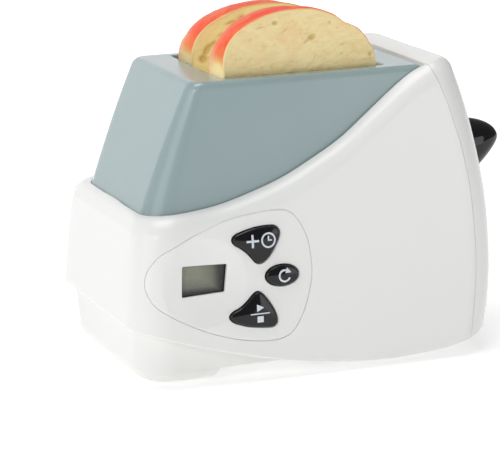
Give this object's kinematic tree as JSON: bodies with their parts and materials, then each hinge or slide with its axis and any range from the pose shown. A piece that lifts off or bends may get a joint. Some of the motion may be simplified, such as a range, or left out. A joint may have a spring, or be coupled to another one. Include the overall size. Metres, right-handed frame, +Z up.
{
  "type": "toy toaster",
  "caption": "Child's pretend-play toaster with a swept casing, tapered inner housing, toast slices on a sprung lever carriage, and a panel with display and push buttons.",
  "frame": {"origin": "centre of the outline in plan, on the surface the toaster stands on", "axes": "+X towards the lever end, -Y is the side with the control panel, +Z up"},
  "size_m": [0.174, 0.1074, 0.1363],
  "materials": {
    "white_shell": "glossy moulded white",
    "grey_housing": "glossy grey",
    "black_plastic": "glossy black",
    "display_window": "tinted clear plastic",
    "display_glass": "dark frame with grey-green glass",
    "soft_rubber": "matte",
    "circuit_board": "green lacquer",
    "sounder_plastic": "matte black",
    "spring_steel": "bright zinc",
    "contact_metal": "nickel plate",
    "copper_winding": "lacquered copper wire",
    "battery_jacket": "plain dark jacket",
    "wire_jacket": "soft red insulation",
    "inner_plastic": "satin off-white",
    "toast_plastic": "orange crust and pale yellow face"
  },
  "bodies": {
    "toaster_body": {"outer_casing": "white_shell", "end_cap": "white_shell", "inner_housing": "grey_housing", "base_tray": "white_shell", "foot_pads": "soft_rubber", "battery_door": "white_shell", "battery_door_screw": "spring_steel", "case_screws": "spring_steel", "aa_battery_front": "battery_jacket", "aa_battery_rear": "battery_jacket", "battery_contacts": "contact_metal", "control_panel": "white_shell", "lcd_lens": "display_window", "lcd_module": "display_glass", "keypad_mat": "soft_rubber", "timer_board": "circuit_board", "buzzer": "sounder_plastic", "board_screws": "spring_steel", "battery_wires": "wire_jacket", "guide_rods": "spring_steel", "lift_spring": "spring_steel", "latch_pin": "spring_steel", "latch_spring": "spring_steel", "solenoid_coil": "copper_winding"},
    "carriage": {"bread_carriage": "inner_plastic", "lever_knob": "black_plastic"},
    "toast_front": {"toast_slice_front": "toast_plastic"},
    "toast_rear": {"toast_slice_rear": "toast_plastic"},
    "add_button": {"button_add": "black_plastic"},
    "reset_button": {"button_reset": "black_plastic"},
    "start_button": {"button_start_stop": "black_plastic"},
    "latch": {"latch_hook": "spring_steel"},
    "plunger": {"solenoid_plunger": "spring_steel"}
  },
  "joints": [
    {"name": "carriage_slide", "type": "slide", "parent": "toaster_body", "child": "carriage", "axis": [0, 0, 1], "range_m": [-0.034, 0], "stiffness_N_per_m": 80, "springref_m": 0.03, "deforming": ["lift_spring"]},
    {"name": "toast_front_lift", "type": "slide", "parent": "carriage", "child": "toast_front", "axis": [0, 0, 1], "range_m": [0, 0.055]},
    {"name": "toast_rear_lift", "type": "slide", "parent": "carriage", "child": "toast_rear", "axis": [0, 0, 1], "range_m": [0, 0.055]},
    {"name": "add_press", "type": "slide", "parent": "toaster_body", "child": "add_button", "axis": [0, -0.995, 0.0995], "range_m": [-0.0012, 0], "stiffness_N_per_m": 250, "springref_m": 0.0006},
    {"name": "reset_press", "type": "slide", "parent": "toaster_body", "child": "reset_button", "axis": [0, -0.995, 0.0995], "range_m": [-0.0012, 0], "stiffness_N_per_m": 250, "springref_m": 0.0006},
    {"name": "start_stop_press", "type": "slide", "parent": "toaster_body", "child": "start_button", "axis": [0, -0.995, 0.0995], "range_m": [-0.0012, 0], "stiffness_N_per_m": 250, "springref_m": 0.0006},
    {"name": "latch_pivot", "type": "hinge", "parent": "toaster_body", "child": "latch", "pos_m": [0.0481, 0, 0.0224], "axis": [0, -1, 0], "range_deg": [0, 14], "stiffness_Nm_per_rad": 0.004, "springref_deg": -5.73},
    {"name": "plunger_slide", "type": "slide", "parent": "toaster_body", "child": "plunger", "axis": [1, 0, 0], "range_m": [0, 0.00228]}
  ],
  "couplings": [
    {"joint": "latch_pivot", "follows": "plunger_slide", "rad_per_m": 107}
  ]
}
